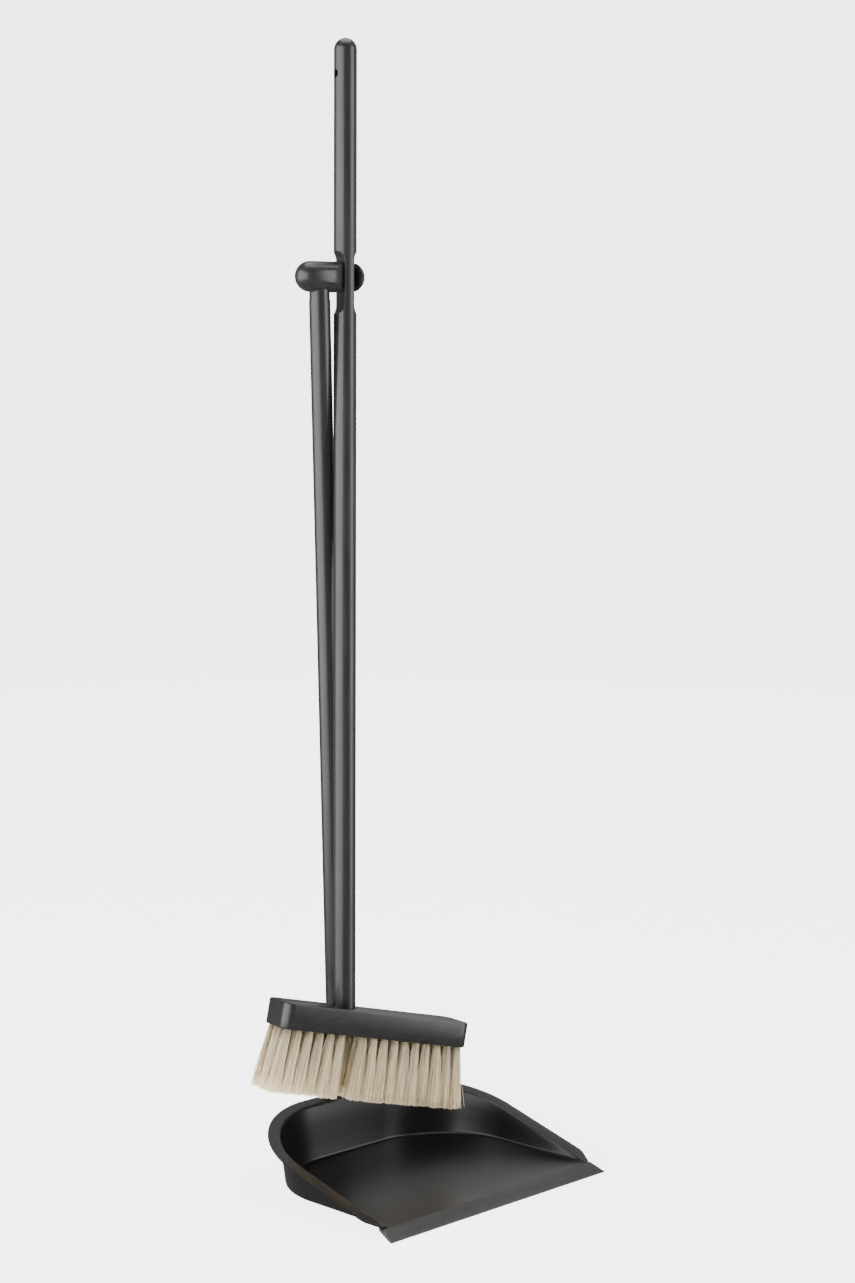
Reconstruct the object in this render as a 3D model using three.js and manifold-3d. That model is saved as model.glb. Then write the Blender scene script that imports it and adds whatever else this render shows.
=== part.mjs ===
// Long-handled dustpan and brush: a sheet-steel pan on an upright wooden handle, and a
// hair brush whose waisted handle hangs in the slot of a crosspiece on top of the pan handle.
// Millimetres, +Z up, the pan's open lip faces -Y.
import * as THREE from 'three';
import { mergeVertices } from 'three/addons/utils/BufferGeometryUtils.js';
import Module from 'manifold-3d';

// ---------------------------------------------------------------- driving dimensions
const gap = 0.3;                 // clearance kept between pieces that touch

// pan
const panHalfWidth = 118;        // floor, inside, at the side creases
const panDepth = 181;            // floor, from the front fold to the rear crease
const floorRadius = 80;          // rear corners of the floor
const wallDraft = 3;             // how far the walls lean out from floor to rim
const rearWallHeight = 51;       // rim above the base at the rear wall
const sheet = 1.2;               // steel sheet
const flangeWidth = 11;          // flat rim turned outwards
const clipLength = 16;           // flange's taper at its front ends
const foldHeight = 7;            // floor surface above the ground at the front fold
const lipReach = 15;             // lip, from the fold to its front edge
const lipSplay = 10.5;             // lip's extra half-width past the side creases
const lipFoot = 5;               // flat strip the lip rests on
const lipTongue = 9;             // lip's grip under the floor
const lipEdge = 1.2;             // thickness of the lip's front edge

// pan handle, crosspiece and the strap that holds the handle
const panHandleRadius = 9.25;
const panHandleFoot = 7;         // handle's lower end above the ground
const strapCentre = 27;          // strap's middle above the ground
const strapHeight = 24;
const strapSheet = 1.6;
const earReach = 26;             // ear's outer end from the handle axis
const rivetRadius = 2;
const rivetHead = 4;
const crosspieceRadius = 13.25;
const crosspieceHeight = 788;    // its axis above the ground
const tenonRadius = 6;
const tenonLength = 15;
const handleSpacing = 25;        // pan handle axis to brush handle axis, along the crosspiece
const leftOverhang = 8.5;        // left end sphere's centre past the pan handle axis
const rightOverhang = 4.2;       // right end sphere's centre past the brush handle axis
const slotLeft = 5.3;            // slot walls, from the brush handle axis
const slotRight = 9.7;
const slotRear = 10.6;
const mouthReach = 11.1;         // bevelled mouth on the slot's left side
const mouthDepth = 6.75;

// brush
const brushX = -22.5;            // brush handle axis
const brushSetback = 19;         // brush handle axis in front of the rear crease
const headTurn = 15;             // degrees the crosspiece and brush are turned to the pan
const brushSwing = 2.8;          // degrees the hanging brush swings forward at its foot
const brushLean = 1.5;           // degrees its foot leans to the left
const brushRadius = 10;
const brushTop = 992;
const brushSeat = 151.5;           // block's top at the handle axis, above the ground
const handleInsert = 11;
const waistThickness = 9;
const waistBelow = 24;           // flats reach this far below the crosspiece axis
const waistRunout = 8.5;
const hangHoleRadius = 3.75;
const hangHoleDrop = 31;         // hole below the handle's top
const blockLeft = 66;          // block's ends from the handle axis
const blockRight = 118.5;
const blockWidth = 43;
const blockThickness = 22.4;
const blockCorner = 9;
const blockBevel = 1.4;
const blockSlope = 11.3;         // degrees from square to the handle, right end lower
const blockPitch = 2.2;          // degrees, bristles pointing a little forward
const bristleLength = 56;
const rowCount = 4;
const rowPitch = 10;
const tuftCount = 17;
const tuftPitch = 10.6;
const tuftRadius = 3.2;
const tuftDepth = 7;
const tuftSplay = 6;             // degrees of fan at the end tufts
const screwRadius = 2;
const screwHead = 4;
const screwBite = 11;            // thread length in the wood

// ---------------------------------------------------------------- derived places
const rearCrease = lipReach + panDepth;
const rimHalfWidth = panHalfWidth + wallDraft;
const rimRear = rearCrease + wallDraft;
const rimRadius = floorRadius - wallDraft;
const floorSlope = (foldHeight - sheet) / (panDepth + sheet);
const floorAt = (y) => foldHeight - floorSlope * (y - lipReach);
const rimSlope = (rearWallHeight - foldHeight - sheet) / (rimRear - lipReach);
const rimAt = (y) => foldHeight + sheet + rimSlope * (y - lipReach);
const brushY = rearCrease - brushSetback;
const turn = THREE.MathUtils.degToRad(headTurn);
const seatY = rimRear + sheet + gap + panHandleRadius + 2.5;
const strapPoint = new THREE.Vector3(0, seatY, strapCentre);
const topPoint = new THREE.Vector3(
  brushX - handleSpacing * Math.cos(turn),
  brushY + handleSpacing * Math.sin(turn),
  crosspieceHeight,
);
const panAxis = topPoint.clone().sub(strapPoint).normalize();
const sides = 32;

// ---------------------------------------------------------------- boolean helpers
const wasm = await Module();
wasm.setup();

function solid(geometry) {
  const bare = geometry.index ? geometry.toNonIndexed() : geometry.clone();
  bare.deleteAttribute('normal');
  bare.deleteAttribute('uv');
  const merged = mergeVertices(bare, 1e-4);
  const mesh = new wasm.Mesh({
    numProp: 3,
    vertProperties: new Float32Array(merged.attributes.position.array),
    triVerts: new Uint32Array(merged.index.array),
  });
  return new wasm.Manifold(mesh);
}

function surface(manifold) {
  const mesh = manifold.getMesh();
  const geometry = new THREE.BufferGeometry();
  geometry.setAttribute('position', new THREE.BufferAttribute(new Float32Array(mesh.vertProperties), 3));
  geometry.setIndex(Array.from(mesh.triVerts));
  return geometry;
}

const moved = (geometry, matrix) => geometry.clone().applyMatrix4(matrix);
const shift = (x, y, z) => new THREE.Matrix4().makeTranslation(x, y, z);

// A cylinder standing on z = low and reaching z = high.
function post(radius, low, high, count = sides) {
  const geometry = new THREE.CylinderGeometry(radius, radius, high - low, count);
  geometry.rotateX(Math.PI / 2);
  geometry.translate(0, 0, (low + high) / 2);
  return geometry;
}

function box(low, high) {
  const size = [0, 1, 2].map((i) => high[i] - low[i]);
  const middle = [0, 1, 2].map((i) => (high[i] + low[i]) / 2);
  const geometry = new THREE.BoxGeometry(size[0], size[1], size[2]);
  geometry.translate(middle[0], middle[1], middle[2]);
  return geometry;
}

// A profile of [radius, z] points turned about Z.
function turned(points, count = sides) {
  const geometry = new THREE.LatheGeometry(points.map((p) => new THREE.Vector2(p[0], p[1])), count);
  geometry.rotateX(Math.PI / 2);
  return geometry;
}

function extruded(shape, low, high, curveSegments = 6) {
  const geometry = new THREE.ExtrudeGeometry(shape, { depth: high - low, bevelEnabled: false,
    curveSegments });
  geometry.translate(0, 0, low);
  return geometry;
}

// A closed solid between two loops of the same number of points, bottom first.
function loft(bottom, top) {
  const count = bottom.length;
  const points = [...bottom, ...top];
  const flat = (ring) => ring.map((p) => new THREE.Vector2(p.x, p.y));
  const index = [];
  for (const [a, b, c] of THREE.ShapeUtils.triangulateShape(flat(bottom), [])) {
    index.push(a, c, b);
  }
  for (const [a, b, c] of THREE.ShapeUtils.triangulateShape(flat(top), [])) {
    index.push(count + a, count + b, count + c);
  }
  for (let i = 0; i < count; i += 1) {
    const next = (i + 1) % count;
    index.push(i, next, count + next, i, count + next, count + i);
  }
  const geometry = new THREE.BufferGeometry();
  geometry.setAttribute('position', new THREE.Float32BufferAttribute(points.flatMap((p) => [p.x,
    p.y, p.z]), 3));
  geometry.setIndex(index);
  return geometry;
}

// Plan outline of the pan, anticlockwise: straight front, straight sides, round rear corners.
function panLoop(halfWidth, rear, radius, front, height, steps = 10) {
  const loop = [[-halfWidth, front], [halfWidth, front]];
  for (let i = 0; i <= steps; i += 1) {
    const a = (i / steps) * (Math.PI / 2);
    loop.push([halfWidth - radius + radius * Math.cos(a), rear - radius + radius * Math.sin(a)]);
  }
  for (let i = 0; i <= steps; i += 1) {
    const a = Math.PI / 2 + (i / steps) * (Math.PI / 2);
    loop.push([-halfWidth + radius + radius * Math.cos(a), rear - radius + radius * Math.sin(a)]);
  }
  return loop.map(([x, y]) => new THREE.Vector3(x, y, height(y)));
}

// The pan's walls as a solid tub, grown by `grow` all round and cut off at `front`.
function tub(grow, front, drop, rise) {
  const low = panLoop(panHalfWidth + grow, rearCrease + grow, floorRadius + grow, front,
    (y) => floorAt(y) - drop);
  const high = panLoop(rimHalfWidth + grow, rimRear + grow, rimRadius + grow, front,
    (y) => rimAt(y) + rise);
  return solid(loft(low, high));
}

// ---------------------------------------------------------------- materials
const finish = (color, roughness, metalness) => new THREE.MeshStandardMaterial({ color,
  roughness, metalness });
const panPaint = finish(0x1b1b1c, 0.35, 0.4);
const lipRubber = finish(0x3a3a3b, 0.7, 0);
const lacquer = finish(0x262626, 0.4, 0);
const blackSteel = finish(0x242424, 0.4, 0.6);
const hair = finish(0xd9ccb0, 0.9, 0);

const set = new THREE.Group();
const add = (name, geometry, material, parent = set) => {
  const mesh = new THREE.Mesh(geometry, material);
  mesh.name = name;
  parent.add(mesh);
  return mesh;
};

// ---------------------------------------------------------------- rivets and strap places
// The rivets stand square to the rear wall, which leans back by the wall's draft.
const wallLean = Math.atan2(wallDraft, rearWallHeight - sheet);
const wallFootLevel = floorAt(rearCrease + sheet) - sheet;
const wallTopLevel = rimAt(rimRear + sheet);
const wallOutside = (z) => rearCrease + sheet
  + wallDraft * (z - wallFootLevel) / (wallTopLevel - wallFootLevel);
const rivetX = (earReach + panHandleRadius + strapSheet) / 2;
const rivetRise = strapHeight / 4;
const rivetPlaces = [[-1, -1], [1, -1], [-1, 1], [1, 1]].map(([side, level]) => {
  const z = strapCentre + level * rivetRise;
  return new THREE.Matrix4()
    .makeTranslation(side * rivetX, wallOutside(z), z)
    .multiply(new THREE.Matrix4().makeRotationX(-Math.PI / 2 - wallLean));
});
const rivetHole = post(rivetRadius + gap, -20, 20, 12);
const earThickness = strapSheet;

// ---------------------------------------------------------------- pan shell
function makePanShell() {
  const outside = tub(sheet, lipReach, sheet, 0);
  const plate = solid(loft(
    panLoop(rimHalfWidth + flangeWidth, rimRear + flangeWidth, rimRadius + flangeWidth, lipReach,
      (y) => rimAt(y) - sheet),
    panLoop(rimHalfWidth + flangeWidth, rimRear + flangeWidth, rimRadius + flangeWidth, lipReach, rimAt),
  ));
  const above = solid(loft(
    panLoop(rimHalfWidth, rimRear, rimRadius, lipReach - 2, (y) => rimAt(y) - 0.05),
    panLoop(rimHalfWidth, rimRear, rimRadius, lipReach - 2, (y) => rimAt(y) + 30),
  ));
  const hollow = tub(0, lipReach - 2, 0, 0).add(above);
  // the flange's front corners are clipped down to the ends of the fold
  const clip = new THREE.Shape();
  clip.moveTo(rimHalfWidth + 2.5, lipReach - 0.01);
  clip.lineTo(rimHalfWidth + flangeWidth + 5, lipReach - 0.01);
  clip.lineTo(rimHalfWidth + flangeWidth + 5, lipReach + clipLength);
  clip.lineTo(rimHalfWidth + flangeWidth, lipReach + clipLength);
  clip.closePath();
  const mirrored = new THREE.Shape(clip.getPoints().map((p) => new THREE.Vector2(-p.x, p.y)).reverse());
  const clips = solid(extruded(clip, 0, 30)).add(solid(extruded(mirrored, 0, 30)));
  const notchHalf = panHandleRadius + 1.5;
  const notch = solid(box(
    [-notchHalf, rimRear + sheet, 0],
    [notchHalf, rimRear + flangeWidth + 5, rearWallHeight + 20],
  ));
  let shell = outside.add(plate).subtract(hollow).subtract(notch).subtract(clips);
  for (const place of rivetPlaces) {
    shell = shell.subtract(solid(moved(rivetHole, place)));
  }
  return surface(shell);
}
add('pan_shell', makePanShell(), panPaint);

// The lip grips the floor's front edge from below and slopes down to the ground.
function makePanLip() {
  const frontHalf = panHalfWidth + lipSplay;
  const under = foldHeight - sheet - gap;
  const profile = [
    [0, 0], [lipFoot, 0], [lipReach + lipTongue, under - 2.6 - floorSlope * lipTongue],
    [lipReach + lipTongue, under - floorSlope * lipTongue], [lipReach - gap, under],
    [lipReach - gap, foldHeight + 0.4], [lipReach - 2, foldHeight + 0.4], [0, lipEdge],
  ];
  const loop = (x, pull) => profile.map(([y,
    z]) => new THREE.Vector3(x - Math.sign(x) * pull * (y / lipReach), y, z));
  const left = loop(-frontHalf, 5);
  const right = loop(frontHalf, 5);
  const index = [];
  const count = profile.length;
  const ends = THREE.ShapeUtils.triangulateShape(profile.map(([y, z]) => new THREE.Vector2(y, z)), []);
  for (const [a, b, c] of ends) {
    index.push(a, c, b);
    index.push(count + a, count + b, count + c);
  }
  for (let i = 0; i < count; i += 1) {
    const next = (i + 1) % count;
    index.push(i, next, count + next, i, count + next, count + i);
  }
  const geometry = new THREE.BufferGeometry();
  geometry.setAttribute('position', new THREE.Float32BufferAttribute([...left,
    ...right].flatMap((p) => [p.x, p.y, p.z]), 3));
  geometry.setIndex(index);
  return geometry;
}
add('pan_lip', makePanLip(), lipRubber);

// ---------------------------------------------------------------- pan handle
// Everything on the handle is made standing on Z, then laid along the handle's axis.
const handleLength = topPoint.distanceTo(strapPoint);
const alongHandle = new THREE.Matrix4()
  .makeTranslation(strapPoint.x, strapPoint.y, strapPoint.z)
  .multiply(new THREE.Matrix4().makeRotationFromQuaternion(
    new THREE.Quaternion().setFromUnitVectors(new THREE.Vector3(0, 0, 1), panAxis),
  ));
const strapScrewDepth = screwBite;

function makePanHandle() {
  const foot = panHandleFoot - strapCentre;
  const shoulder = handleLength - crosspieceRadius + 1.2;
  let body = solid(turned([
    [0, foot], [panHandleRadius - 1.5, foot], [panHandleRadius, foot + 1.5],
    [panHandleRadius, shoulder - 8], [panHandleRadius - 0.45, shoulder - 6.5],
    [panHandleRadius - 0.45, shoulder + 6], [0, shoulder + 6],
  ]));
  body = body.add(solid(post(tenonRadius, shoulder, handleLength + tenonLength - crosspieceRadius)));
  // shoulder cut to the crosspiece's round underside
  const saddle = new THREE.CylinderGeometry(crosspieceRadius + gap, crosspieceRadius + gap, 60, sides);
  saddle.rotateZ(Math.PI / 2);
  const intoWorld = saddle.clone().applyMatrix4(
    new THREE.Matrix4().makeTranslation(topPoint.x, topPoint.y, topPoint.z)
      .multiply(new THREE.Matrix4().makeRotationZ(-turn)),
  );
  const intoHandle = moved(intoWorld, alongHandle.clone().invert());
  const trimmed = body.subtract(solid(intoHandle));
  const tenon = solid(post(tenonRadius, shoulder - 8, handleLength + tenonLength - crosspieceRadius));
  const bore = new THREE.CylinderGeometry(1.4 + gap, 1.4 + gap, strapScrewDepth + gap, 12);
  bore.translate(0, panHandleRadius - (strapScrewDepth + gap) / 2 + 0.01, 0);
  return surface(trimmed.add(tenon).subtract(solid(bore)));
}
add('pan_handle', moved(makePanHandle(), alongHandle), lacquer);

// ---------------------------------------------------------------- strap, its rivets and its screw
function strapShape() {
  const inner = panHandleRadius + gap;
  const outer = inner + strapSheet;
  const reach = -seatY + rearCrease;
  const shape = new THREE.Shape();
  shape.moveTo(earReach, reach);
  shape.lineTo(earReach, -panHandleRadius + 1.2);
  shape.lineTo(outer, -panHandleRadius + 1.2);
  shape.lineTo(outer, 0);
  shape.absarc(0, 0, outer, 0, Math.PI, false);
  shape.lineTo(-outer, -panHandleRadius + 1.2);
  shape.lineTo(-earReach, -panHandleRadius + 1.2);
  shape.lineTo(-earReach, reach);
  shape.closePath();
  return { shape, inner };
}

function makeStrap() {
  const { shape, inner } = strapShape();
  let body = solid(extruded(shape, -strapHeight / 2, strapHeight / 2, 16));
  const channel = new THREE.Shape();
  channel.moveTo(inner, -40);
  channel.lineTo(inner, 0);
  channel.absarc(0, 0, inner, 0, Math.PI, false);
  channel.lineTo(-inner, -40);
  channel.closePath();
  body = body.subtract(solid(extruded(channel, -strapHeight, strapHeight, 16)));
  const screwHole = new THREE.CylinderGeometry(1.4 + gap, 1.4 + gap, 8, 12);
  screwHole.translate(0, panHandleRadius + 2, 0);
  body = body.subtract(solid(screwHole));
  let placed = solid(moved(surface(body), alongHandle));
  placed = placed.subtract(tub(sheet + gap, lipReach, 20, 0));
  const keep = solid(loft(
    panLoop(panHalfWidth + sheet + gap + earThickness, rearCrease + sheet + gap + earThickness,
      floorRadius + sheet + gap + earThickness, lipReach, (y) => floorAt(y) - sheet),
    panLoop(rimHalfWidth + sheet + gap + earThickness, rimRear + sheet + gap + earThickness,
      rimRadius + sheet + gap + earThickness, lipReach, rimAt),
  ));
  const hoop = solid(moved(extruded(hoopShape(), -strapHeight / 2, strapHeight / 2, 16), alongHandle));
  placed = placed.intersect(keep.add(hoop));
  for (const place of rivetPlaces) {
    placed = placed.subtract(solid(moved(rivetHole, place)));
  }
  return surface(placed);
}

// The part of the strap that is not an ear: a U round the back of the handle.
function hoopShape() {
  const outer = panHandleRadius + gap + strapSheet;
  const shape = new THREE.Shape();
  shape.moveTo(outer, -seatY + rearCrease);
  shape.lineTo(outer, 0);
  shape.absarc(0, 0, outer + 0.01, 0, Math.PI, false);
  shape.lineTo(-outer, -seatY + rearCrease);
  shape.closePath();
  return shape;
}
add('handle_strap', makeStrap(), blackSteel);

// inside the pan the rivets are filed flush and painted over
const flushEnd = 0.1 - sheet;
const grip = sheet + gap + earThickness;
const rivetProfile = [
  [0, flushEnd], [rivetRadius, flushEnd], [rivetRadius, grip - sheet + gap],
  [rivetHead, grip - sheet + gap], [rivetHead - 0.7, grip - sheet + gap + 1.2],
  [rivetHead - 2.2, grip - sheet + gap + 1.8], [0, grip - sheet + gap + 1.9],
];
rivetPlaces.forEach((place, i) => {
  add(`strap_rivet_${i + 1}`, moved(turned(rivetProfile, 12), place), blackSteel);
});

function screwGeometry(shank, head, headHeight, length, count = 12) {
  return turned([[0, 0], [shank, 0.8], [shank, length], [head, length + gap], [head,
    length + headHeight - 0.5],
    [head - 1, length + headHeight], [0, length + headHeight]], count);
}
const strapScrew = screwGeometry(1.4, 3, 1.8, strapScrewDepth + strapSheet + gap);
strapScrew.rotateX(-Math.PI / 2);
strapScrew.translate(0, panHandleRadius - strapScrewDepth + gap, 0);
add('strap_screw', moved(strapScrew, alongHandle), blackSteel);

// ---------------------------------------------------------------- crosspiece
const headFrame = new THREE.Matrix4()
  .makeTranslation(brushX, brushY, 0)
  .multiply(new THREE.Matrix4().makeRotationZ(-turn));
const axisLevel = shift(0, 0, crosspieceHeight);
// the brush hangs from the crosspiece, swung a little about it
const brushFrame = headFrame.clone()
  .multiply(axisLevel)
  .multiply(new THREE.Matrix4().makeRotationFromEuler(
    new THREE.Euler(THREE.MathUtils.degToRad(-brushSwing), THREE.MathUtils.degToRad(brushLean), 0),
  ))
  .multiply(shift(0, 0, -crosspieceHeight));

function capsule(left, right, radius) {
  const points = [];
  const steps = 8;
  for (let i = 0; i <= steps; i += 1) {
    const a = (i / steps) * (Math.PI / 2);
    points.push([radius * Math.sin(a), left - radius * Math.cos(a)]);
  }
  for (let i = 0; i <= steps; i += 1) {
    const a = (i / steps) * (Math.PI / 2);
    points.push([radius * Math.cos(a), right + radius * Math.sin(a)]);
  }
  points[0][0] = 0;
  points[points.length - 1][0] = 0;
  const geometry = turned(points);
  geometry.rotateY(Math.PI / 2);
  return geometry;
}

function makeCrosspiece() {
  const body = solid(moved(capsule(-handleSpacing - leftOverhang, rightOverhang,
    crosspieceRadius), axisLevel));
  const low = crosspieceHeight - 30;
  const high = crosspieceHeight + 30;
  const front = -crosspieceRadius - 5;
  const slot = new THREE.Shape();
  slot.moveTo(-slotLeft, front);
  slot.lineTo(slotRight, front);
  slot.lineTo(slotRight, slotRear - 3);
  slot.quadraticCurveTo(slotRight, slotRear, slotRight - 3, slotRear);
  slot.lineTo(-slotLeft + 3, slotRear);
  slot.quadraticCurveTo(-slotLeft, slotRear, -slotLeft, slotRear - 3);
  slot.closePath();
  const mouthY = -crosspieceRadius + mouthDepth;
  const mouthX = -slotLeft - mouthReach;
  const past = 5 * mouthReach / mouthDepth;
  const mouth = new THREE.Shape();
  mouth.moveTo(mouthX - past, front);
  mouth.lineTo(0, front);
  mouth.lineTo(0, mouthY);
  mouth.lineTo(-slotLeft, mouthY);
  mouth.closePath();
  const inHead = headFrame.clone().invert().multiply(alongHandle);
  const socket = post(tenonRadius + gap, handleLength - 30,
    handleLength + tenonLength - crosspieceRadius + gap);
  const cut = solid(extruded(slot, low, high)).add(solid(extruded(mouth, low, high)));
  return surface(body.subtract(cut).subtract(solid(moved(socket, inHead))));
}
add('crosspiece', moved(makeCrosspiece(), headFrame), lacquer);

// ---------------------------------------------------------------- brush handle
const blockFrame = shift(0, 0, brushSeat).multiply(new THREE.Matrix4().makeRotationFromEuler(
  new THREE.Euler(THREE.MathUtils.degToRad(-blockPitch), THREE.MathUtils.degToRad(blockSlope), 0, 'YXZ'),
));
const boreBottom = brushSeat - handleInsert;

function makeBrushHandle() {
  const points = [[0, boreBottom], [brushRadius, boreBottom]];
  const steps = 8;
  for (let i = 0; i <= steps; i += 1) {
    const a = (i / steps) * (Math.PI / 2);
    points.push([brushRadius * Math.cos(a), brushTop - brushRadius + brushRadius * Math.sin(a)]);
  }
  points[points.length - 1][0] = 0;
  let body = solid(turned(points));
  // the waist: two flats with sloping run-outs, made by taking a shape off each side
  const half = waistThickness / 2;
  const high = crosspieceHeight + crosspieceRadius + 2 * gap;
  const low = crosspieceHeight - waistBelow;
  const side = new THREE.Shape();
  side.moveTo(half, low);
  side.quadraticCurveTo(half, low - waistRunout * 0.7, brushRadius + 0.5, low - waistRunout);
  side.lineTo(brushRadius + 5, low - waistRunout);
  side.lineTo(brushRadius + 5, high + waistRunout);
  side.lineTo(brushRadius + 0.5, high + waistRunout);
  side.quadraticCurveTo(half, high + waistRunout * 0.7, half, high);
  side.closePath();
  const cutter = extruded(side, -30, 30, 6);
  cutter.rotateX(Math.PI / 2);
  const mirrored = cutter.clone().rotateZ(Math.PI);
  body = body.subtract(solid(cutter)).subtract(solid(mirrored));
  const hang = new THREE.CylinderGeometry(hangHoleRadius, hangHoleRadius, 40, 16);
  hang.rotateZ(Math.PI / 2);
  hang.translate(0, 0, brushTop - hangHoleDrop);
  const pilot = post(screwRadius + gap, boreBottom - 1, boreBottom + screwBite + gap, 12);
  return surface(body.subtract(solid(hang)).subtract(solid(pilot)));
}
add('brush_handle', moved(makeBrushHandle(), brushFrame), lacquer);

// ---------------------------------------------------------------- brush block
// Rows run along the block, tufts are set evenly, and one place in each row is left
// free round the screw that comes up from below into the handle.
const middleOfBlock = (blockRight - blockLeft) / 2;
const rowPlaces = Array.from({ length: rowCount }, (_, i) => (i - (rowCount - 1) / 2) * rowPitch);
const tuftPlaces = Array.from({ length: tuftCount }, (_,
  i) => middleOfBlock + (i - (tuftCount - 1) / 2) * tuftPitch);
const downThroughBlock = new THREE.Vector3(0, 0, -1).transformDirection(blockFrame.clone().invert());
const screwX = (-blockThickness / downThroughBlock.z) * downThroughBlock.x;
const blockFoot = brushSeat + blockThickness / downThroughBlock.z;   // underside at the handle axis
const screwSeat = 4;                                                 // counterbore depth
const freeTuft = tuftPlaces.reduce((best, x, i) => (
  Math.abs(x - screwX) < Math.abs(tuftPlaces[best] - screwX) ? i : best), 0);

// Leans a tuft outwards in proportion to its place along the block.
function tuftFrame(x, y) {
  const lean = THREE.MathUtils.degToRad(tuftSplay)
    * (x - middleOfBlock) / (tuftPlaces[tuftCount - 1] - middleOfBlock);
  return shift(x, y, -blockThickness).multiply(new THREE.Matrix4().makeRotationY(-lean));
}

function makeBlock() {
  const inset = blockBevel;
  const shape = new THREE.Shape();
  const x0 = -blockLeft + inset;
  const x1 = blockRight - inset;
  const h = blockWidth / 2 - inset;
  const r = blockCorner - inset;
  shape.moveTo(x0 + r, -h);
  shape.lineTo(x1 - r, -h);
  shape.absarc(x1 - r, -h + r, r, -Math.PI / 2, 0, false);
  shape.lineTo(x1, h - r);
  shape.absarc(x1 - r, h - r, r, 0, Math.PI / 2, false);
  shape.lineTo(x0 + r, h);
  shape.absarc(x0 + r, h - r, r, Math.PI / 2, Math.PI, false);
  shape.lineTo(x0, -h + r);
  shape.absarc(x0 + r, -h + r, r, Math.PI, Math.PI * 1.5, false);
  const geometry = new THREE.ExtrudeGeometry(shape, {
    depth: blockThickness - 2 * blockBevel,
    bevelEnabled: true,
    bevelThickness: blockBevel,
    bevelSize: blockBevel,
    bevelSegments: 2,
    curveSegments: 6,
  });
  geometry.translate(0, 0, -blockThickness + blockBevel);
  let block = solid(moved(geometry, blockFrame));
  block = block.subtract(solid(post(brushRadius + gap, boreBottom - gap, brushSeat + 30)));
  block = block.subtract(solid(post(screwRadius + gap, boreBottom - 30, boreBottom, 12)));
  block = block.subtract(solid(post(screwHead + gap, blockFoot - 5, blockFoot + screwSeat, 12)));
  const hole = post(tuftRadius + gap, -5, tuftDepth + gap, 6);
  for (const y of rowPlaces) {
    tuftPlaces.forEach((x, i) => {
      if (i !== freeTuft) {
        block = block.subtract(solid(moved(hole, blockFrame.clone().multiply(tuftFrame(x, y)))));
      }
    });
  }
  return surface(block);
}
add('brush_block', moved(makeBlock(), brushFrame), lacquer);

function makeBlockScrew() {
  const head = blockFoot + screwSeat - gap;
  const tip = boreBottom + screwBite;
  const geometry = turned([
    [0, head - 2], [screwHead - 0.8, head - 2], [screwHead, head - 1.4], [screwHead, head],
    [screwRadius, head], [screwRadius, tip - 3], [0.6, tip], [0, tip],
  ], 12);
  return moved(geometry, brushFrame);
}
add('block_screw', makeBlockScrew(), blackSteel);

// ---------------------------------------------------------------- bristles
// Each row's tufts stand apart at the block and run together towards their tips.
function tuftGeometry() {
  const across = Math.min(rowPitch / 2 - gap, tuftRadius * 1.45);
  const along = tuftPitch * 0.62;
  const geometry = new THREE.CylinderGeometry(1, 1, 1, 6, 3);
  geometry.rotateX(Math.PI / 2);
  const rings = [
    [-bristleLength, along, across],
    [-bristleLength * 0.55, tuftPitch * 0.53, across * 0.95],
    [0, tuftRadius, tuftRadius],
    [tuftDepth, tuftRadius - 0.2, tuftRadius - 0.2],
  ];
  const position = geometry.attributes.position;
  for (let i = 0; i < position.count; i += 1) {
    const level = Math.round((position.getZ(i) + 0.5) * 3);
    const [z, a, b] = rings[level];
    position.setXYZ(i, position.getX(i) * a, position.getY(i) * b, z);
  }
  return geometry;
}

function makeTufts(y, first, last) {
  const tuft = tuftGeometry();
  let row = null;
  for (let i = first; i <= last; i += 1) {
    const one = solid(moved(tuft, blockFrame.clone().multiply(tuftFrame(tuftPlaces[i], y))));
    row = row ? row.add(one) : one;
  }
  return surface(row);
}
rowPlaces.forEach((y, i) => {
  add(`bristle_row_${i + 1}_left`, moved(makeTufts(y, 0, freeTuft - 1), brushFrame), hair);
  add(`bristle_row_${i + 1}_right`, moved(makeTufts(y, freeTuft + 1, tuftCount - 1), brushFrame), hair);
});

// ---------------------------------------- origin: middle of the footprint, on the ground
const bounds = new THREE.Box3().setFromObject(set, true);
set.position.set(-(bounds.min.x + bounds.max.x) / 2, -(bounds.min.y + bounds.max.y) / 2, -bounds.min.z);
const assembly = new THREE.Group();
assembly.add(set);
assembly.updateMatrixWorld(true);

export default assembly;
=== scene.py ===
# %% [markdown]
# # A long-handled dustpan and brush
# The rigid frame comes in as plain solids. This lesson gives each piece its finished form:
# bent sheet steel, lacquered wood, a matt lip and real hair.

# %% Load the frame
import math
import bmesh
import bpy
import numpy as np
from mathutils import Matrix, Vector


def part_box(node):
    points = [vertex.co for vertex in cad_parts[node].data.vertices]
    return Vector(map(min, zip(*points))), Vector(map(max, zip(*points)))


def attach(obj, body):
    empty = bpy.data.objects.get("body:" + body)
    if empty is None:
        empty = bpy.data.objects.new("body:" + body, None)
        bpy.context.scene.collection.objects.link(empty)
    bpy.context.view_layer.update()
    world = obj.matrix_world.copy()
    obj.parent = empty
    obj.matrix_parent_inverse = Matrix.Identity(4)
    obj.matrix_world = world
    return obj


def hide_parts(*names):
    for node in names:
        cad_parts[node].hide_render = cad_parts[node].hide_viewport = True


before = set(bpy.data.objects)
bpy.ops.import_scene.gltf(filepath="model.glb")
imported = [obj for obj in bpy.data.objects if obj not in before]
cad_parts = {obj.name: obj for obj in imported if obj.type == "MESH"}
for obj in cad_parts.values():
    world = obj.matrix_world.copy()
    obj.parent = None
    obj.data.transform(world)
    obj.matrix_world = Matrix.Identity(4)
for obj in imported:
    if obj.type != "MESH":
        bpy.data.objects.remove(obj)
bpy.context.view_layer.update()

MM = 0.001
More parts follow.
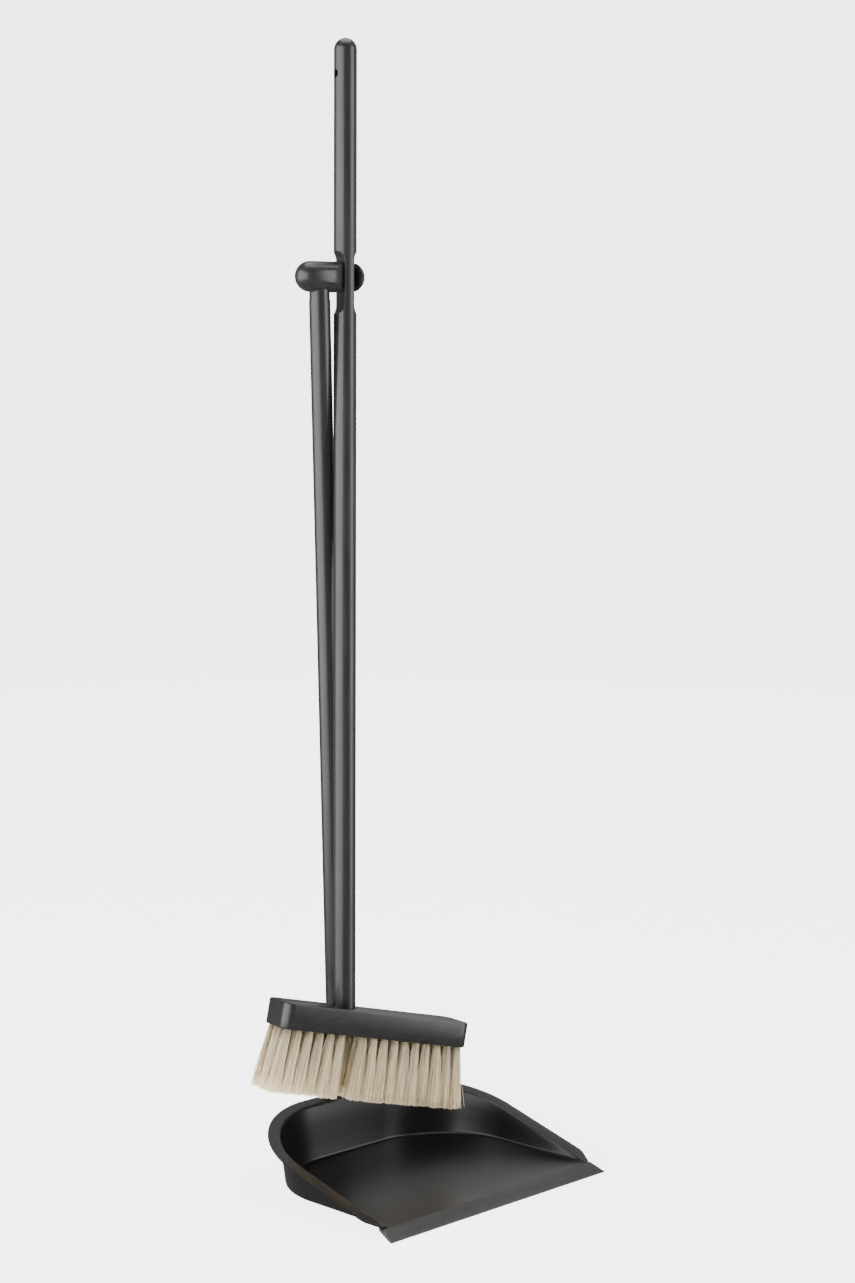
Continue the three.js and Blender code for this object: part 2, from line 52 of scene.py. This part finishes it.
# The pan's own axes: x from its centre line, y from the front edge of its lip.
PAN_ORIGIN = np.array([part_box("pan_shell")[0][0] + 0.132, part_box("pan_lip")[0][1], 0.0])
print("pan origin", PAN_ORIGIN)

# %% [markdown]
# ## Helpers
# A node graph is easier to follow when each node is made, set and wired in one line.

# %% Node and mesh helpers
def new_material(name, colour, roughness, metallic=0.0):
    """A material with its shader's plain values set, and its node tree."""
    material = bpy.data.materials.new(name)
    material.use_nodes = True
    shader = material.node_tree.nodes["Principled BSDF"]
    shader.inputs["Base Color"].default_value = (*colour, 1.0)
    shader.inputs["Roughness"].default_value = roughness
    shader.inputs["Metallic"].default_value = metallic
    return material, material.node_tree, shader


def noise(tree, scale, detail=4.0, stretch=(1, 1, 1)):
    """Noise on the object's own coordinates, drawn out along the axes by stretch."""
    where = tree.nodes.new("ShaderNodeTexCoord")
    mapping = tree.nodes.new("ShaderNodeMapping")
    mapping.inputs["Scale"].default_value = stretch
    texture = tree.nodes.new("ShaderNodeTexNoise")
    texture.inputs["Scale"].default_value = scale
    texture.inputs["Detail"].default_value = detail
    tree.links.new(where.outputs["Object"], mapping.inputs["Vector"])
    tree.links.new(mapping.outputs["Vector"], texture.inputs["Vector"])
    return texture.outputs["Fac"]


def spread(tree, value, low, high):
    """The noise's middle range mapped to low..high."""
    node = tree.nodes.new("ShaderNodeMapRange")
    node.inputs["From Min"].default_value = 0.3
    node.inputs["From Max"].default_value = 0.7
    node.inputs["To Min"].default_value = low
    node.inputs["To Max"].default_value = high
    tree.links.new(value, node.inputs["Value"])
    return node.outputs["Result"]


def bump(tree, shader, value, depth, strength=0.5):
    """Raises the surface by value times depth metres."""
    node = tree.nodes.new("ShaderNodeBump")
    node.inputs["Distance"].default_value = depth
    node.inputs["Strength"].default_value = strength
    tree.links.new(value, node.inputs["Height"])
    tree.links.new(node.outputs["Normal"], shader.inputs["Normal"])


def tint(tree, shader, value, dark, light):
    """Colour from dark to light by value."""
    ramp = tree.nodes.new("ShaderNodeValToRGB")
    ramp.color_ramp.elements[0].color = (*dark, 1)
    ramp.color_ramp.elements[1].color = (*light, 1)
    ramp.color_ramp.elements[0].position = 0.3
    ramp.color_ramp.elements[1].position = 0.7
    tree.links.new(value, ramp.inputs["Fac"])
    tree.links.new(ramp.outputs["Color"], shader.inputs["Base Color"])

# %% [markdown]
# ## Finishes
# Satin lacquer on wood shows faint grain running with the length of the stick, so its noise is
# squeezed across the grain and drawn out along it.

# %% Lacquered wood
def lacquer(name, stretch):
    """Black satin lacquer with grain drawn out along one axis."""
    material, tree, shader = new_material(name, (0.008, 0.008, 0.008), 0.4)
    shader.inputs["Coat Weight"].default_value = 0.25
    shader.inputs["Coat Roughness"].default_value = 0.22
    grain = noise(tree, 260.0, 6.0, stretch)
    cloud = noise(tree, 14.0, 3.0)
    tree.links.new(spread(tree, cloud, 0.34, 0.44), shader.inputs["Roughness"])
    tint(tree, shader, grain, (0.006, 0.006, 0.006), (0.013, 0.0125, 0.012))
    bump(tree, shader, grain, 0.00012, 0.35)
    return material


stick_lacquer = lacquer("stick_lacquer", (1, 1, 0.03))
block_lacquer = lacquer("block_lacquer", (0.03, 1, 1))
print("lacquers", stick_lacquer.name, block_lacquer.name)

# %% [markdown]
# Powder coat is sprayed dry and melted on, which leaves a fine pebbled skin.

# %% Powder coat, lip and steel
pan_coat, tree, shader = new_material("pan_coat", (0.012, 0.012, 0.013), 0.36)
tint(tree, shader, noise(tree, 9.0, 3.0), (0.003, 0.003, 0.0033), (0.006, 0.0055, 0.0055))
tree.links.new(spread(tree, noise(tree, 9.0, 2.0), 0.29, 0.35), shader.inputs["Roughness"])
bump(tree, shader, noise(tree, 1100.0, 2.0), 0.00002, 0.2)

lip_matt, tree, shader = new_material("lip_matt", (0.03, 0.03, 0.031), 0.55)
tint(tree, shader, noise(tree, 120.0, 5.0, (0.1, 1, 1)), (0.026, 0.026, 0.027), (0.048, 0.047, 0.046))
tree.links.new(spread(tree, noise(tree, 60.0, 4.0), 0.45, 0.65), shader.inputs["Roughness"])
bump(tree, shader, noise(tree, 900.0, 3.0), 0.00010, 0.4)

dark_steel, tree, shader = new_material("dark_steel", (0.05, 0.05, 0.052), 0.38, 0.9)
tint(tree, shader, noise(tree, 200.0, 4.0), (0.03, 0.03, 0.031), (0.075, 0.073, 0.07))
tree.links.new(spread(tree, noise(tree, 500.0, 4.0), 0.3, 0.5), shader.inputs["Roughness"])
print("metal finishes ready")

# %% [markdown]
# Each hair carries its own tone in a colour attribute, so neighbouring hairs differ; the same attribute holds
# painted shade that darkens every hair towards its root.

# %% Hair
hair_look, tree, shader = new_material("hair_look", (0.7, 0.6, 0.42), 0.55)
tone_and_root_shade = tree.nodes.new("ShaderNodeVertexColor")
tone_and_root_shade.layer_name = "tone_and_root_shade"
tree.links.new(tone_and_root_shade.outputs["Color"], shader.inputs["Base Color"])
shader.inputs["Sheen Weight"].default_value = 0.15
bump(tree, shader, noise(tree, 2600.0, 2.0), 0.00003, 0.3)
print("hair finish ready")

# %% [markdown]
# ## Pieces cut from solid stock
# The turned and milled pieces already have the right form. A copy is merged, its edges are
# eased by a small bevel and its round faces are shaded smooth.

# %% Ease the edges of a solid piece
def eased(node, name, body, material, ease):
    """A merged copy of a CAD node with edges over 40 degrees rounded by ease."""
    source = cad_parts[node]
    mesh = source.data.copy()
    mesh.name = name
    work = bmesh.new()
    work.from_mesh(mesh)
    bmesh.ops.remove_doubles(work, verts=work.verts, dist=1e-6)
    bmesh.ops.dissolve_limit(work, angle_limit=math.radians(0.5), verts=work.verts, edges=work.edges)
    for face in work.faces:
        face.smooth = True
    for edge in work.edges:
        edge.smooth = edge.calc_face_angle(0.0) < math.radians(32)
    work.to_mesh(mesh)
    work.free()
    piece = bpy.data.objects.new(name, mesh)
    bpy.context.collection.objects.link(piece)
    mesh.materials.clear()
    mesh.materials.append(material)
    if ease:
        bevel = piece.modifiers.new("ease", "BEVEL")
        bevel.width = ease
        bevel.segments = 2
        bevel.limit_method = "ANGLE"
        bevel.angle_limit = math.radians(40)
        bevel.harden_normals = True
    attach(piece, body)
    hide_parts(node)
    print(name, len(mesh.polygons), "faces")
    return piece


eased("brush_handle", "brush_stick", "brush", stick_lacquer, 0.0004)
eased("pan_handle", "pan_stick", "pan", stick_lacquer, 0.0003)
eased("crosspiece", "slotted_crosspiece", "pan", block_lacquer, 0.0004)
eased("brush_block", "block", "brush", block_lacquer, 0.0)
eased("pan_lip", "lip", "pan", lip_matt, 0.0003)
eased("handle_strap", "strap", "pan", dark_steel, 0.0002)
eased("strap_screw", "strap_screw_head", "pan", dark_steel, 0.0)
eased("block_screw", "block_screw_head", "brush", dark_steel, 0.0)
for number in (1, 2, 3, 4):
    eased(f"strap_rivet_{number}", f"rivet_{number}", "pan", dark_steel, 0.0)

# %% [markdown]
# ## The pan
# The real pan is one sheet, bent up at the creases and turned out again at the rim. So the
# upper skin is worked out as one surface, and Solidify gives it the sheet's thickness.

# %% Pan outline
LIP_REACH, FLOOR_HALF, CREASE_REAR, FLOOR_RADIUS = 15.0, 118.0, 196.0, 80.0
RIM_HALF, RIM_REAR, RIM_RADIUS, FLANGE, SHEET = 121.0, 199.0, 77.0, 11.0, 1.2


def outline(half, rear, radius, sides=24, corner=40, back=np.array([1, .6, .31, .3, .283, .278, 0])):
    """Right side, round corner and back of the pan in plan, then the same mirrored:
    a straight run, a quarter circle and a straight run, each point held by its fraction."""
    side = np.stack([np.full(sides, half), np.linspace(LIP_REACH, rear - radius, sides)], 1)
    angle = np.linspace(0, np.pi / 2, corner)[1:]
    turn = np.stack([half - radius + radius * np.cos(angle), rear - radius + radius * np.sin(angle)], 1)
    flat = half - radius
    run = np.stack([38 * back[1:] * flat / 38, np.full(len(back) - 1, rear)], 1)
    right = np.concatenate([side, turn, run])
    left = right[-2::-1] * [-1, 1]
    return np.concatenate([right, left])


def floor_level(y):
    """Height of the floor's upper face: falls evenly from the fold to the rear crease."""
    return 7.0 - (7.0 - SHEET) / (181 + SHEET) * (y - LIP_REACH)


def rim_level(y):
    """Height of the rim plane, which rises evenly to the rear."""
    return 8.2 + (51 - 8.2) / (RIM_REAR - LIP_REACH) * (y - LIP_REACH)


crease = outline(FLOOR_HALF, CREASE_REAR, FLOOR_RADIUS)
rim = outline(RIM_HALF, RIM_REAR, RIM_RADIUS)
outer = outline(RIM_HALF + FLANGE, RIM_REAR + FLANGE, RIM_RADIUS + FLANGE)
print("outline points", len(crease))

# %% Pan skin
def rounded(a, b, c, reach, steps=5):
    """A corner at b between a and c, eased by a curve that starts and ends reach away."""
    before = b + (a - b) / np.linalg.norm(a - b, axis=1, keepdims=True) * reach
    after = b + (c - b) / np.linalg.norm(c - b, axis=1, keepdims=True) * reach
    t = np.linspace(0, 1, steps)[:, None, None]
    return (1 - t) ** 2 * before + 2 * t * (1 - t) * b + t ** 2 * after


def pan_skin():
    """Grid of rows carried round the outline: floor, crease, wall, rim bend and flange."""
    low = np.column_stack([crease, floor_level(crease[:, 1])])
    bend = np.column_stack([rim, rim_level(rim[:, 1])])
    width = 2.5 / FLANGE + (1 - 2.5 / FLANGE) * np.clip((outer[:, 1] - LIP_REACH) / 16, 0, 1)
    notched = (np.abs(outer[:, 0]) < 13.0) & (outer[:, 1] > RIM_REAR)
    width = np.where(notched, 0.12, width)
    edge = rim + (outer - rim) * width[:, None]
    edge = np.column_stack([edge, rim_level(edge[:, 1])])
    centre = np.array([0.0, LIP_REACH, floor_level(LIP_REACH)])
    inward = np.broadcast_to(centre, low.shape)
    wall = np.linalg.norm(bend - low, axis=1, keepdims=True)
    brim = np.linalg.norm(edge - bend, axis=1, keepdims=True)
    rows = [centre + (low - centre) * s for s in (0, 0.3, 0.6, 0.85, 0.95)]
    rows += list(rounded(inward, low, bend, np.minimum(2.2, 0.4 * wall)))
    rows += [low + (bend - low) * s for s in (0.35, 0.65)]
    rows += list(rounded(low, bend, edge, np.minimum(np.minimum(1.8, 0.4 * wall), 0.4 * brim)))
    rows += [edge]
    return np.array(rows)


grid = pan_skin()
rows, columns = grid.shape[:2]
print("pan grid", rows, columns)

# %% Pan object
def grid_faces(rows, columns):
    """Corner numbers of every cell of a rows by columns grid."""
    first = (np.arange(rows - 1)[:, None] * columns + np.arange(columns - 1)).ravel()
    return np.stack([first, first + 1, first + columns + 1, first + columns], 1)


def finished(name, points, faces, material):
    """A mesh object at the origin from points in metres."""
    mesh = bpy.data.meshes.new(name)
    mesh.from_pydata(points.tolist(), [], faces.tolist())
    mesh.update()
    mesh.materials.append(material)
    mesh.polygons.foreach_set("use_smooth", np.ones(len(mesh.polygons), bool))
    piece = bpy.data.objects.new(name, mesh)
    bpy.context.collection.objects.link(piece)
    return piece


pan = finished("pan_sheet", grid.reshape(-1, 3) * MM + PAN_ORIGIN, grid_faces(rows, columns), pan_coat)
work = bmesh.new()
work.from_mesh(pan.data)
bmesh.ops.remove_doubles(work, verts=work.verts, dist=1e-6)
if sum(f.normal.z * f.calc_area() for f in work.faces) < 0:
    bmesh.ops.reverse_faces(work, faces=work.faces)
work.to_mesh(pan.data)
work.free()
thick = pan.modifiers.new("sheet", "SOLIDIFY")
thick.thickness = SHEET * MM
thick.offset = -1
edge_ease = pan.modifiers.new("edge", "BEVEL")
edge_ease.width = 0.0003
edge_ease.segments = 2
edge_ease.limit_method = "ANGLE"
edge_ease.angle_limit = math.radians(50)
edge_ease.harden_normals = True
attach(pan, "pan")
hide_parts("pan_shell")
print("pan faces", len(pan.data.polygons))

# %% [markdown]
# ## The brush's own frame
# The brush hangs from the crosspiece, turned with it and swung a little forward. Its tufts are
# set out in the block's frame and then carried into place.

# %% Brush frame
def degrees(value, axis):
    return Matrix.Rotation(math.radians(value), 4, axis)


def shift(x, y, z):
    return Matrix.Translation((x, y, z))


brush_frame = (shift(-22.5, 177, 788) @ degrees(-15, "Z") @ degrees(-2.8, "X") @ degrees(1.5, "Y")
               @ shift(0, 0, -788))
block_frame = brush_frame @ shift(0, 0, 151.5) @ degrees(11.3, "Y") @ degrees(-2.2, "X")
MIDDLE, PITCH, ROW, DEEP, LENGTH = 26.25, 10.6, 10.0, 22.4, 56.0
tuft_places = MIDDLE + (np.arange(17) - 8) * PITCH
down = block_frame.to_3x3().inverted() @ (brush_frame.to_3x3() @ Vector((0, 0, -1)))
free_tuft = int(np.argmin(np.abs(tuft_places + DEEP / down.z * down.x)))
print("free tuft", free_tuft)

# %% [markdown]
# ## Hair tufts
# A tuft is a bundle of hairs folded into a hole. Each hair is a thin three-sided tube that
# leans out a little more the further it stands from the tuft's centre.

# %% Tufts
HAIRS = 150
STEPS = 6
random = np.random.default_rng(7)


def tuft_hairs(x, y):
    """Centre lines of one tuft's hairs: root in a disc, then straight with a slight curve and a
    spread that grows with the distance from the root. Shape (hairs, steps, 3), block frame."""
    radius = 3.0 * np.sqrt(random.random(HAIRS))
    angle = random.random(HAIRS) * 2 * np.pi
    root = np.stack([radius * np.cos(angle), radius * np.sin(angle)], 1)
    t = np.linspace(0, 1, STEPS)[None, :, None]
    length = LENGTH * (1 - 0.035 * random.random((HAIRS, 1, 1)))
    length = length * np.where(random.random((HAIRS, 1, 1)) < 0.05, 0.93, 1.0)
    grow = np.array([1.0, 0.55])
    tuft_drift = random.normal(0, 0.7, 2)
    stray = tuft_drift + random.normal(0, 0.9, (HAIRS, 2)) * np.where(random.random((HAIRS, 1)) < 0.05, 3.4, 1.0)
    curve = random.normal(0, 0.55, (HAIRS, 2))
    flat = root[:, None] * (1 + grow * t) + stray[:, None] * t + curve[:, None] * np.sin(np.pi * t)
    lean = math.radians(6) * (x - MIDDLE) / (8 * PITCH)
    depth = 1.5 - (length + 1.5) * t
    ahead = flat[..., 0] * math.cos(lean) - depth[..., 0] * math.sin(lean)
    below = depth[..., 0] * math.cos(lean) + flat[..., 0] * math.sin(lean)
    return np.stack([x + ahead, y + flat[..., 1], below - DEEP], 2)


def hair_tubes(lines):
    """Three points round every step of every line, the tube thinning evenly to seven tenths of its width at the
    last step.
    """
    turn = np.arange(3) * 2 * np.pi / 3
    thick = 0.22 * np.linspace(1, 0.7, STEPS)
    ring = np.stack([np.cos(turn), np.sin(turn), np.zeros(3)], 1)
    points = lines[:, :, None] + ring[None, None] * thick[None, :, None, None]
    return points.reshape(len(lines), STEPS * 3, 3)


def tube_faces(count):
    """Sides between neighbouring steps, and a cap at both ends, for count tubes."""
    step = np.arange(STEPS - 1)[:, None] * 3
    side = np.arange(3)[None]
    near = (side + 1) % 3
    quads = np.stack([step + side, step + 3 + side, step + 3 + near, step + near], 2).reshape(-1, 4)
    base = np.arange(count)[:, None, None] * STEPS * 3
    sides = (quads[None] + base).reshape(-1, 4).tolist()
    caps = np.array([[0, 1, 2], [STEPS * 3 - 1, STEPS * 3 - 2, STEPS * 3 - 3]])
    return sides + (caps[None] + base).reshape(-1, 3).tolist()


def carry(points, matrix):
    """Points moved by a 4 by 4 matrix."""
    m = np.array(matrix)
    return points @ m[:3, :3].T + m[:3, 3]


def hair_row(name, y, places, node):
    """One comb of tufts as a single piece."""
    lines = np.concatenate([tuft_hairs(x, y) for x in places])
    points = hair_tubes(lines)
    shade = np.repeat(random.normal(1.0, 0.22, len(lines)), STEPS * 3)
    # Painted shade: every hair is darkened towards the block, where shade falls deep between the tufts.
    root_shade = np.tile(np.repeat(np.linspace(0.38, 1.0, STEPS) ** 0.7, 3), len(lines))
    mesh = bpy.data.meshes.new(name)
    flat = carry(points.reshape(-1, 3), block_frame) * MM + PAN_ORIGIN
    mesh.from_pydata(flat.tolist(), [], tube_faces(len(lines)))
    tone_and_root_shade = mesh.color_attributes.new("tone_and_root_shade", "FLOAT_COLOR", "POINT")
    colour = np.ones((len(flat), 4), np.float32)
    colour[:, :3] = np.array([0.92, 0.76, 0.49]) * (shade * root_shade).clip(0.15, 1.05)[:, None]
    tone_and_root_shade.data.foreach_set("color", colour.ravel())
    mesh.polygons.foreach_set("use_smooth", np.ones(len(mesh.polygons), bool))
    mesh.materials.append(hair_look)
    piece = bpy.data.objects.new(name, mesh)
    bpy.context.collection.objects.link(piece)
    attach(piece, "brush")
    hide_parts(node)
    print(name, len(places), "tufts", len(mesh.polygons), "faces")


for row in range(4):
    across = (row - 1.5) * ROW
    hair_row(f"hair_{row + 1}_left", across, tuft_places[:free_tuft], f"bristle_row_{row + 1}_left")
    hair_row(f"hair_{row + 1}_right", across, tuft_places[free_tuft + 1:], f"bristle_row_{row + 1}_right")

# %% [markdown]
# ## Studio
# Black lacquer shows its form only by what it reflects, so a large soft light stands on each
# side and the space between them stays dim.

# %% Floor
def level_ground(reach, cells):
    """A level square grid round the origin, reach metres to each side."""
    line = np.linspace(-reach, reach, cells)
    x, y = np.meshgrid(line, line)
    return np.stack([x.ravel(), y.ravel(), np.zeros(x.size)], 1)


pale, tree, shader = new_material("pale_paper", (0.84, 0.84, 0.84), 0.8)
tint(tree, shader, noise(tree, 3.0), (0.83, 0.83, 0.83), (0.85, 0.85, 0.85))
shader.inputs["Emission Color"].default_value = (1, 1, 1, 1)
shader.inputs["Emission Strength"].default_value = 4.0
floor = finished("floor", level_ground(30.0, 5), grid_faces(5, 5), pale)
floor.visible_glossy = False
print("floor made")

# %% Lights and camera
def area_light(name, place, target, size, power):
    data = bpy.data.lights.new(name, "AREA")
    data.shape = "RECTANGLE"
    data.size, data.size_y = size
    data.energy = power
    lamp = bpy.data.objects.new(name, data)
    lamp.location = place
    lamp.rotation_euler = (Vector(target) - Vector(place)).to_track_quat("-Z", "Y").to_euler()
    bpy.context.collection.objects.link(lamp)
    lamp.visible_camera = False
    return lamp


def from_camera(side, towards, up):
    """A place given sideways from the view line, towards the camera and up."""
    a = math.radians(43.3)
    return (side * math.cos(a) - towards * math.sin(a), -side * math.sin(a) - towards * math.cos(a), up)


area_light("left_softbox", from_camera(-2.4, 0.8, 0.9), (0, 0, 0.5), (2.6, 2.6), 105)
area_light("front_left_softbox", from_camera(-1.5, 2.5, 0.9), (0, 0, 0.5), (1.5, 2.6), 55)
area_light("right_softbox", from_camera(2.2, 0.5, 0.9), (0, 0, 0.5), (1.2, 2.6), 45)
area_light("top_softbox", from_camera(0, -0.3, 2.4), (0, 0, 0.2), (1.6, 1.6), 28)
area_light("back_softbox", from_camera(0.9, -2.8, 1.4), (0, 0, 0.4), (2.4, 2.4), 11)

# The room is dim in reflections and pale where the camera looks past the floor.
world = bpy.data.worlds.new("studio")
world.use_nodes = True
sky = world.node_tree
room = sky.nodes["Background"]
room.inputs["Color"].default_value = (0.9, 0.9, 0.9, 1)
room.inputs["Strength"].default_value = 0.22
beyond = sky.nodes.new("ShaderNodeBackground")
beyond.inputs["Strength"].default_value = 5.1
seen = sky.nodes.new("ShaderNodeLightPath")
either = sky.nodes.new("ShaderNodeMixShader")
sky.links.new(seen.outputs["Is Camera Ray"], either.inputs[0])
sky.links.new(room.outputs[0], either.inputs[1])
sky.links.new(beyond.outputs[0], either.inputs[2])
sky.links.new(either.outputs[0], sky.nodes["World Output"].inputs["Surface"])
bpy.context.scene.world = world

turn, dip, roll = math.radians(43.3), math.radians(6.4), math.radians(0.2)
right = np.array([math.cos(turn), -math.sin(turn), 0])
view = np.array([math.sin(turn) * math.cos(dip), math.cos(turn) * math.cos(dip), -math.sin(dip)])
up = np.cross(right, view)
level_right = math.cos(roll) * right + math.sin(roll) * up
level_up = -math.sin(roll) * right + math.cos(roll) * up
lens = bpy.data.cameras.new("camera")
lens.sensor_fit = "VERTICAL"
lens.sensor_height = 36
lens.lens = 65.9
camera = bpy.data.objects.new("camera", lens)
place = np.array([-1375.8, -1364.3, 701.8]) * MM + PAN_ORIGIN
pose = np.eye(4)
pose[:3, 0], pose[:3, 1], pose[:3, 2], pose[:3, 3] = level_right, level_up, -view, place
camera.matrix_world = Matrix(pose.tolist())
bpy.context.collection.objects.link(camera)
bpy.context.scene.camera = camera
print("camera at", place)
